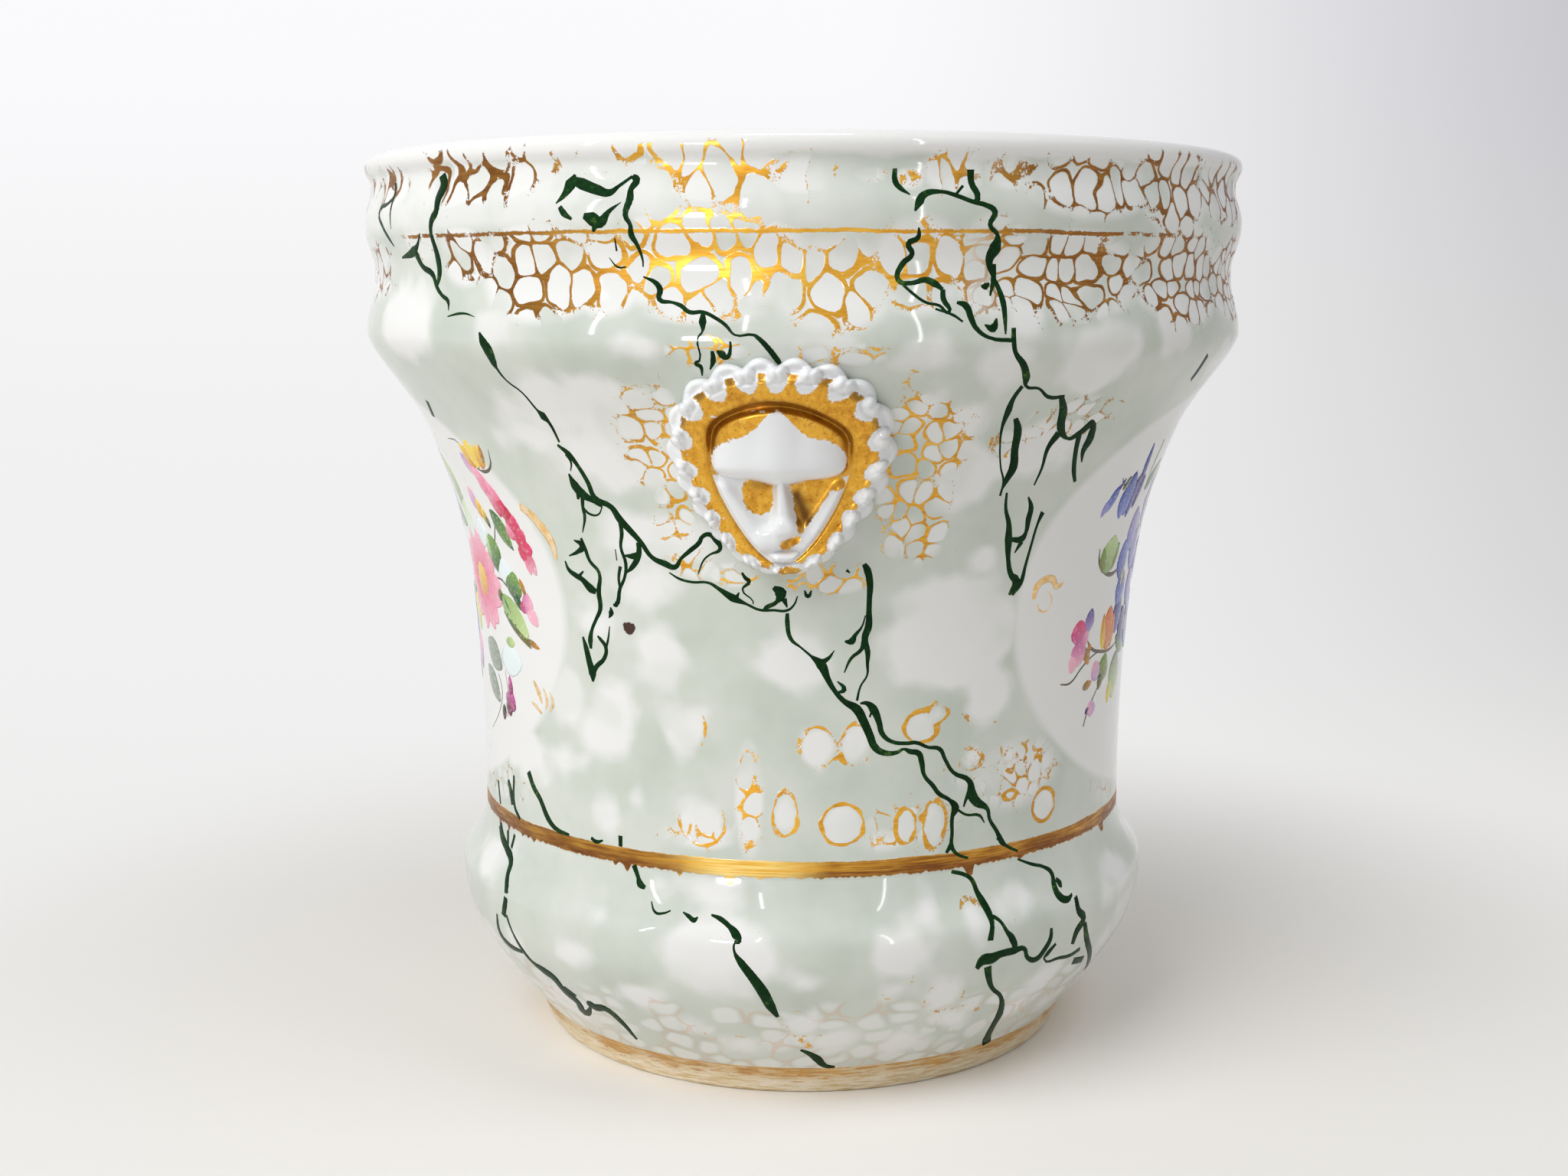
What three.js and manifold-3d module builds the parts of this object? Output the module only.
// Porcelain planter: a bell-shaped wall set on a rounded bowl, a foot ring under the bowl, and a pressed
// relief mask on the front and the back. Millimetres, +Z up. The origin is the centre of the foot's
// resting face, and the front mask looks towards -Y. The stated seams are filled with slip and fired.
import * as THREE from 'three';
import { mergeVertices } from 'three/addons/utils/BufferGeometryUtils.js';
import Module from 'manifold-3d';

// The whole part: its height is the driving size that the flare's rise is worked out from
const HEIGHT = 170;
const WALL = 4.2;
const SEAM = 0.3;
const SIDES = 56;
const CURVE_STEPS = 5;

// Foot ring
const FOOT_HEIGHT = 5.5;
const FOOT_TOP_RADIUS = 55.0;
const FOOT_REST_RADIUS = 52.6;
const FOOT_RING_WIDTH = 6.0;
const FOOT_EDGE_ROUND = 0.8;

// Bowl: heights are rises from the station below, leans are degrees from upright, and a hold is the share
// of the rise over which the curve keeps its direction at a station
const FLOOR_THICKNESS = 4.2;
const FLOOR_CORNER_RISE = 9.0;
const FLOOR_CORNER_RUN = 14.4;
const FLOOR_CORNER_LEAN = 26.6;
const FLOOR_CORNER_HOLD = 6.1;
const BULB_RADIUS = 69.1;
const BULB_RISE = 27.2;
const BULB_FOOT_LEAN = 38.8;
const BULB_FOOT_HOLD = 0.67;
const BULB_LOW_HOLD = 0.31;
const BULB_RIM_RISE = 11.0;
const BULB_RIM_LEAN = 12.3;
const BULB_RIM_HOLD = 0.7;
const BULB_HIGH_HOLD = 0.32;
const LAP_DEPTH = 3.0;

// Bell wall, in the same terms
const WAIST_RADIUS = 64.2;
const WAIST_RISE = 3.7;
const FLARE_RADIUS = 73.7;
const FLARE_LEAN = 21.8;
const FLARE_LOW_HOLD = 0.716;
const FLARE_HIGH_HOLD = 0.171;
const SHOULDER_RADIUS = 84.75;
const SHOULDER_RISE = 18.5;
const SHOULDER_LOW_HOLD = 0.432;
const SHOULDER_HIGH_HOLD = 0.2;
const HOLLOW_RADIUS = 82.9;
const HOLLOW_RISE = 10.8;
const BEAD_RADIUS = 84.65;
const BEAD_RISE = 9.2;
const CAVETTO_RADIUS = 83.2;
const CAVETTO_RISE = 7.0;
const LIP_RADIUS = 84.4;
const LIP_RISE = 3.4;
const LIP_CROWN = 2.0;
const LIP_WIDTH = 4.8;
const MOULDING_HOLD = 0.45;

// Mask: places are seen from straight in front of its middle, lifts are measured out from the wall
const MASK_DROP = 21.1;
const MASK_EDGE_TOP = 1.3;
const MASK_EDGE_FOOT = 2.6;
const BEAD_COUNT = 18;
const BEAD_ROW_RADIUS = 15.8;
const BEAD_ROW_RISE = 0.4;
const BEAD_ROW_SHIELD = 1.0;
const BEAD_HALF_WIDTH = 1.9;
const BEAD_HALF_LENGTH = 2.5;
const BEAD_LIFT = 1.5;
const PETAL_ROOT = 1.1;
const PETAL_LENGTH = 1.6;
const PETAL_LIFT = 0.8;
const RING_LIFT = 2.7;
const RING_BANK = 2.4;
const HOOD_LIFT = 1.1;
const HOOD_FOOT = 2.0;
const HOOD_ARCH = 4.6;
const FACE_HALF_WIDTH = 11.3;
const FACE_TOP = 10.8;
const FACE_CHIN = 15.5;
const CHEEK_LINE = -1.0;
const JAW_BEND = 1.6;
const JAW_FULLNESS = 0.8;
const OPENING_BANK = 1.0;
const HOLLOW_LIFT = 0.6;
const HOLLOW_WIDTH = 1.5;
const SOCKET_LIFT = 1.1;

// Forms of the face, each with its own lift: pads about a middle, and bars that widen from end to end
const BROW_LIFT = 4.6;
const BROW_WING = { middle: [5.4, 2.0], half: [6.2, 3.5] };
const BROW_MIDDLE = { middle: [0, 3.4], half: [3.6, 5.0] };
const NOSE_LIFT = 5.8;
const NOSE = { from: [0, 1.0], to: [0, -9.6], half: [1.4, 2.6] };
const CHEEK_LIFT = 3.3;
const CHEEK = { from: [9.2, -3.2], to: [4.6, -11.4], half: [1.9, 2.6] };
const MUZZLE_LIFT = 4.2;
const MUZZLE = { middle: [2.2, -11.2], half: [2.6, 2.0] };
const CHIN_LIFT = 3.9;
const CHIN = { from: [0, -14.2], to: [2.0, -13.9], half: [1.3, 1.1] };

// Net of the mask: strips from bead to bead, and where its rings run between the outline and the middle
const STRIPS_PER_BEAD = 4;
const PETAL_RINGS = [1, 0.6, 0.2];
const BEAD_RINGS = [0.7, 1.8, 2.7];
const OPENING_RINGS = [0.25, -0.55];
const FACE_RINGS = [0.86, 0.73, 0.6, 0.47, 0.34, 0.18];
const RING_SPACE = 0.2;

// Heights of the stations, from the floor up
const SEAT_Z = FOOT_HEIGHT + SEAM;
const FLOOR_Z = SEAT_Z + FLOOR_THICKNESS;
const BULB_Z = SEAT_Z + BULB_RISE;
const RIM_Z = BULB_Z + BULB_RIM_RISE;
const WALL_BASE_Z = RIM_Z + SEAM;
const WAIST_Z = WALL_BASE_Z + WAIST_RISE;
const LIP_Z = HEIGHT - LIP_CROWN;
const CAVETTO_Z = LIP_Z - LIP_RISE;
const BEAD_Z = CAVETTO_Z - CAVETTO_RISE;
const HOLLOW_Z = BEAD_Z - BEAD_RISE;
const SHOULDER_Z = HOLLOW_Z - HOLLOW_RISE;
const FLARE_Z = SHOULDER_Z - SHOULDER_RISE;
const FLARE_RISE = FLARE_Z - WAIST_Z;
const MASK_Z = SHOULDER_Z - MASK_DROP;

const wasm = await Module();
wasm.setup();

const point = (r, z) => new THREE.Vector2(r, z);

// One smooth stretch between two stations, leaving and arriving along the given directions
function stretch(from, leave, to, arrive, steps = CURVE_STEPS) {
  const curve = new THREE.CubicBezierCurve(from, from.clone().add(leave), to.clone().sub(arrive), to);
  return curve.getPoints(steps);
}

// A moulding that swells or draws in between two stations with the wall upright at both
function moulding(from, to, steps) {
  const reach = (to.y - from.y) * MOULDING_HOLD;
  return stretch(from, point(0, reach), to, point(0, reach), steps);
}

// The same line moved sideways by a distance, to the left of its direction when positive
function offset(points, distance) {
  return points.map((p, i) => {
    const before = points[Math.max(i - 1, 0)];
    const after = points[Math.min(i + 1, points.length - 1)];
    const along = after.clone().sub(before).normalize();
    return point(p.x - along.y * distance, p.y + along.x * distance);
  });
}

function joined(...lines) {
  const all = lines.flat();
  return all.filter((p, i) => i === 0 || p.distanceTo(all[i - 1]) > 1e-4);
}

// A direction in the profile, in degrees outwards from upright
function leaning(degrees, length) {
  const lean = THREE.MathUtils.degToRad(degrees);
  return point(Math.sin(lean) * length, Math.cos(lean) * length);
}

// The flare from the waist up to the shoulder, for a shoulder of any radius
function flare(shoulderRadius) {
  const knot = point(FLARE_RADIUS, FLARE_Z);
  const lower = stretch(point(WAIST_RADIUS, WAIST_Z), point(0, FLARE_RISE * FLARE_LOW_HOLD), knot,
    leaning(FLARE_LEAN, FLARE_RISE * FLARE_HIGH_HOLD), CURVE_STEPS + 2);
  const upper = stretch(knot, leaning(FLARE_LEAN, SHOULDER_RISE * SHOULDER_LOW_HOLD),
    point(shoulderRadius, SHOULDER_Z), point(0, SHOULDER_RISE * SHOULDER_HIGH_HOLD), CURVE_STEPS + 1);
  return joined(lower, upper);
}

// Outer face of the bell wall, from its lower edge up to the side of the lip
const wallFace = joined(
  [point(WAIST_RADIUS, WALL_BASE_Z)],
  flare(SHOULDER_RADIUS),
  moulding(point(SHOULDER_RADIUS, SHOULDER_Z), point(HOLLOW_RADIUS, HOLLOW_Z), 4),
  moulding(point(HOLLOW_RADIUS, HOLLOW_Z), point(BEAD_RADIUS, BEAD_Z), 4),
  moulding(point(BEAD_RADIUS, BEAD_Z), point(CAVETTO_RADIUS, CAVETTO_Z), 4),
  moulding(point(CAVETTO_RADIUS, CAVETTO_Z), point(LIP_RADIUS, LIP_Z), 2),
);

// Outer face of the bowl, from the seat of the foot ring up to the rim
function bowlFace() {
  const widest = point(BULB_RADIUS, BULB_Z);
  return joined(
    stretch(point(FOOT_TOP_RADIUS, SEAT_Z), leaning(BULB_FOOT_LEAN, BULB_RISE * BULB_FOOT_HOLD),
      widest, point(0, BULB_RISE * BULB_LOW_HOLD), CURVE_STEPS + 1),
    stretch(widest, point(0, BULB_RIM_RISE * BULB_HIGH_HOLD),
      point(WAIST_RADIUS, RIM_Z), leaning(-BULB_RIM_LEAN, BULB_RIM_RISE * BULB_RIM_HOLD), CURVE_STEPS + 1),
  );
}

// A closed solid that can be cut, from any three.js geometry
function solid(geometry) {
  const bare = geometry.clone();
  bare.deleteAttribute('normal');
  bare.deleteAttribute('uv');
  const merged = mergeVertices(bare, 1e-4);
  const index = merged.index.array;
  const corners = [];
  for (let i = 0; i < index.length; i += 3) {
    const [a, b, c] = [index[i], index[i + 1], index[i + 2]];
    if (a !== b && b !== c && c !== a) corners.push(a, b, c);
  }
  const mesh = new wasm.Mesh({
    numProp: 3,
    vertProperties: new Float32Array(merged.attributes.position.array),
    triVerts: new Uint32Array(corners),
  });
  return new wasm.Manifold(mesh);
}

function geometryOf(body) {
  const mesh = body.getMesh();
  const geometry = new THREE.BufferGeometry();
  geometry.setAttribute('position', new THREE.BufferAttribute(new Float32Array(mesh.vertProperties), 3));
  geometry.setIndex(new THREE.BufferAttribute(new Uint32Array(mesh.triVerts), 1));
  geometry.computeVertexNormals();
  return geometry;
}

// Turns a profile of radius and height about the Z axis
function turned(profile) {
  return new THREE.LatheGeometry(profile, SIDES).rotateX(Math.PI / 2);
}

// The bell wall's foot is half lapped: its inner half drops into the rebate of the bowl's rim
function bellWall() {
  const inside = offset(flare(HOLLOW_RADIUS), WALL).filter((p) => p.y > WAIST_Z);
  const lapRadius = WAIST_RADIUS - WALL / 2 - SEAM / 2;
  const crown = LIP_WIDTH / 2;
  const lip = new THREE.EllipseCurve(LIP_RADIUS - crown, LIP_Z, crown, LIP_CROWN, 0, Math.PI);
  return turned(joined(
    wallFace,
    lip.getPoints(6),
    [point(HOLLOW_RADIUS - WALL, HOLLOW_Z)],
    inside.reverse(),
    [
      point(WAIST_RADIUS - WALL, WALL_BASE_Z - LAP_DEPTH),
      point(lapRadius, WALL_BASE_Z - LAP_DEPTH),
      point(lapRadius, WALL_BASE_Z),
      wallFace[0],
    ],
  ));
}

// The bowl's inside follows its outside at the wall's thickness and rounds into a flat floor
function bulbBowl() {
  const outside = bowlFace();
  const ledgeZ = RIM_Z - LAP_DEPTH;
  const lapRadius = WAIST_RADIUS - WALL / 2 + SEAM / 2;
  const cornerZ = FLOOR_Z + FLOOR_CORNER_RISE;
  const inside = offset(outside, WALL).filter((p) => p.y < ledgeZ - SEAM && p.y > cornerZ);
  const wallFoot = inside[0];
  const floorEdge = point(wallFoot.x - FLOOR_CORNER_RUN, FLOOR_Z);
  const corner = stretch(wallFoot, leaning(FLOOR_CORNER_LEAN, FLOOR_CORNER_HOLD).negate(),
    floorEdge, point(-FLOOR_CORNER_HOLD, 0), 4);
  return turned(joined(
    [point(0, SEAT_Z)],
    outside,
    [
      point(lapRadius, RIM_Z),
      point(lapRadius, ledgeZ),
      point(WAIST_RADIUS - WALL, ledgeZ),
    ],
    inside.reverse(),
    corner,
    [point(0, FLOOR_Z)],
  ));
}

function footRing() {
  const innerRadius = FOOT_REST_RADIUS - FOOT_RING_WIDTH;
  const e = FOOT_EDGE_ROUND;
  const outerEdge = new THREE.EllipseCurve(FOOT_REST_RADIUS - e, e, e, e, -Math.PI / 2, 0);
  const innerEdge = new THREE.EllipseCurve(innerRadius + e, e, e, e, Math.PI, Math.PI * 1.5);
  const profile = joined(
    innerEdge.getPoints(2),
    outerEdge.getPoints(3),
    [point(FOOT_TOP_RADIUS, FOOT_HEIGHT), point(innerRadius, FOOT_HEIGHT), point(innerRadius, e)],
  );
  return turned(profile);
}

const smooth = THREE.MathUtils.smoothstep;
const lerp = THREE.MathUtils.lerp;

// How much of an oval pad covers a place: 1 at its middle, falling off round its edge
function pad(u, v, { middle, half }) {
  const d = ((u - middle[0]) / half[0]) ** 2 + ((v - middle[1]) / half[1]) ** 2;
  return Math.exp(-(d ** 2));
}

// The same for a rounded bar from one place to another, which may widen on its way
function bar(u, v, { from, to, half }) {
  const du = to[0] - from[0];
  const dv = to[1] - from[1];
  const share = ((u - from[0]) * du + (v - from[1]) * dv) / (du * du + dv * dv);
  const along = THREE.MathUtils.clamp(share, 0, 1);
  const away = Math.hypot(u - from[0] - along * du, v - from[1] - along * dv);
  return Math.exp(-((away / lerp(half[0], half[1], along)) ** 4));
}

// How far a place lies inside the opening of the hood that frames the face: arched above, pointed below
function insideFace(u, v) {
  const low = THREE.MathUtils.clamp((CHEEK_LINE - v) / (FACE_CHIN + CHEEK_LINE), 0, 1);
  const halfWidth = FACE_HALF_WIDTH * (1 - low ** JAW_BEND) ** JAW_FULLNESS;
  const top = FACE_TOP - HOOD_ARCH * (u / FACE_HALF_WIDTH) ** 2;
  return Math.min(halfWidth - Math.abs(u), top - v);
}

// The face in its hollow: sunk eye sockets, then cheeks, muzzle, chin, brow and nose, each at its own lift
function faceLift(u, v) {
  const side = Math.abs(u);
  const forms = [
    [CHEEK_LIFT, bar(side, v, CHEEK)],
    [MUZZLE_LIFT, pad(side, v, MUZZLE)],
    [CHIN_LIFT, bar(side, v, CHIN)],
    [BROW_LIFT, Math.max(pad(side, v, BROW_WING), pad(u, v, BROW_MIDDLE))],
    [NOSE_LIFT, bar(u, v, NOSE)],
  ];
  return forms.reduce((lift, [level, cover]) => lerp(lift, level, cover), SOCKET_LIFT);
}

// Radius of the row of beads at a turn from the mask's right: a circle drawn towards a rounded triangle,
// which follows the face with its point down
function beadRow(turn) {
  return BEAD_ROW_RADIUS + BEAD_ROW_RISE * Math.sin(turn) + BEAD_ROW_SHIELD * Math.sin(3 * turn);
}

// Outline of the ruff: a round petal behind each gap between two beads
function outline(turn) {
  return beadRow(turn) + PETAL_ROOT + PETAL_LENGTH * Math.abs(Math.sin((turn * BEAD_COUNT) / 2));
}

// A rounded knob at a share of the way from one bead to the next, over its own stretch of the row
function knob(turn, out, share, halfWidth, halfLength) {
  const step = (Math.PI * 2) / BEAD_COUNT;
  const shifted = turn - share * step;
  const aside = (shifted - Math.round(shifted / step) * step) * beadRow(turn);
  const d = (aside / halfWidth) ** 2 + (out / halfLength) ** 2;
  return d < 1 ? Math.sqrt(1 - d) : 0;
}

// Lift of the mask above the wall: petals, beads in front of them, a ring that rises to a hood, and the face
function maskLift(u, v) {
  const turn = Math.atan2(v, u);
  const out = Math.hypot(u, v) - beadRow(turn);
  const edge = lerp(MASK_EDGE_FOOT, MASK_EDGE_TOP, (v / BEAD_ROW_RADIUS + 1) / 2);
  const petal = PETAL_LIFT * knob(turn, out - PETAL_ROOT / 2, 0.5, BEAD_HALF_LENGTH, BEAD_HALF_LENGTH);
  const crown = RING_LIFT + HOOD_LIFT * smooth(v, HOOD_FOOT, FACE_TOP);
  const ring = crown * (1 - smooth(out, -RING_BANK, RING_BANK / 4));
  const bead = BEAD_LIFT * knob(turn, out, 0, BEAD_HALF_WIDTH, BEAD_HALF_LENGTH);
  const inside = insideFace(u, v);
  const hollow = lerp(HOLLOW_LIFT, faceLift(u, v), smooth(inside, OPENING_BANK / 2, HOLLOW_WIDTH));
  const ruff = edge + petal + ring + bead;
  return lerp(ruff, edge + hollow, smooth(inside, -OPENING_BANK / 2, OPENING_BANK / 2));
}

// Distance from the mask's middle to the edge of the face's opening at a turn, found by halving
function openingRadius(turn) {
  let [near, far] = [0, FACE_CHIN + FACE_TOP];
  while (far - near > 1e-3) {
    const middle = (near + far) / 2;
    if (insideFace(middle * Math.cos(turn), middle * Math.sin(turn)) > 0) near = middle;
    else far = middle;
  }
  return near;
}

// Radii of the net's rings at a turn, from the outline in to the last ring round the middle
function ringRadii(turn) {
  const row = beadRow(turn);
  const opening = openingRadius(turn);
  const petals = PETAL_RINGS.map((share) => lerp(row, outline(turn), share));
  const beads = BEAD_RINGS.map((inset, i) => Math.max(row - inset, opening + OPENING_BANK - i * RING_SPACE));
  const edges = OPENING_RINGS.map((out) => opening + out);
  const face = FACE_RINGS.map((share) => opening * share);
  return [...petals, ...beads, ...edges, ...face];
}

// Outer radius of the bell wall at a height, read off its own profile
function wallRadius(z) {
  const i = wallFace.findIndex((p) => p.y > z);
  const [a, b] = [wallFace[i - 1], wallFace[i]];
  return lerp(a.x, b.x, (z - a.y) / (b.y - a.y));
}

// A pressing with a petalled outline: its front stands out from the wall by the lift, and its back is cut
// to the wall. The net's rings follow the petals, the beads and the opening, and each cell is creased along
// its more level diagonal, so that ridges and grooves run clean.
function pressedMask() {
  const backY = -(WAIST_RADIUS - WALL);
  const strips = BEAD_COUNT * STRIPS_PER_BEAD;
  const corners = [];
  const place = (u, v) => {
    const wall = Math.sqrt(wallRadius(MASK_Z + v) ** 2 - u ** 2);
    corners.push([u, -(wall + maskLift(u, v)), MASK_Z + v]);
  };
  for (let strip = 0; strip < strips; strip += 1) {
    const turn = (strip / strips) * Math.PI * 2;
    ringRadii(turn).forEach((radius) => place(radius * Math.cos(turn), radius * Math.sin(turn)));
  }
  const rings = corners.length / strips;
  const middle = corners.length;
  place(0, 0);
  const index = [];
  const at = (strip, ring) => (strip % strips) * rings + ring;
  const drop = (from, to) => Math.abs(corners[from][1] - corners[to][1]);
  const firstBack = corners.length;
  for (let strip = 0; strip < strips; strip += 1) {
    for (let ring = 0; ring < rings - 1; ring += 1) {
      const [a, b] = [at(strip, ring), at(strip + 1, ring)];
      const [c, d] = [at(strip + 1, ring + 1), at(strip, ring + 1)];
      if (drop(a, c) < drop(b, d)) index.push(a, b, c, a, c, d);
      else index.push(a, b, d, b, c, d);
    }
    index.push(at(strip, rings - 1), at(strip + 1, rings - 1), middle);
    const rim = corners[at(strip, 0)];
    corners.push([rim[0], backY, rim[2]]);
  }
  const backMiddle = corners.length;
  corners.push([0, backY, MASK_Z]);
  for (let strip = 0; strip < strips; strip += 1) {
    const [back, nextBack] = [firstBack + strip, firstBack + ((strip + 1) % strips)];
    index.push(at(strip, 0), back, nextBack);
    index.push(at(strip, 0), nextBack, at(strip + 1, 0));
    index.push(backMiddle, nextBack, back);
  }
  const blank = new THREE.BufferGeometry();
  blank.setAttribute('position', new THREE.Float32BufferAttribute(corners.flat(), 3));
  blank.setIndex(index);
  const seatLine = offset(wallFace, -SEAM);
  const seat = turned(joined([point(0, seatLine[0].y)], seatLine, [point(0, LIP_Z)]));
  return geometryOf(solid(blank).subtract(solid(seat)));
}

const celadonGlaze = new THREE.MeshStandardMaterial({ color: 0xcdd8ce, roughness: 0.12, metalness: 0 });
const footPorcelain = new THREE.MeshStandardMaterial({ color: 0xd9c39a, roughness: 0.5, metalness: 0 });
const maskGlaze = new THREE.MeshStandardMaterial({ color: 0xe9e9ea, roughness: 0.12, metalness: 0 });

const planter = new THREE.Group();

function add(name, geometry, material, turn = 0) {
  const mesh = new THREE.Mesh(geometry, material);
  mesh.name = name;
  mesh.rotation.z = turn;
  planter.add(mesh);
}

add('foot_ring', footRing(), footPorcelain);
add('bulb_bowl', bulbBowl(), celadonGlaze);
add('bell_wall', bellWall(), celadonGlaze);
const mask = pressedMask();
add('mask_front', mask, maskGlaze);
add('mask_back', mask.clone(), maskGlaze, Math.PI);

export default planter;
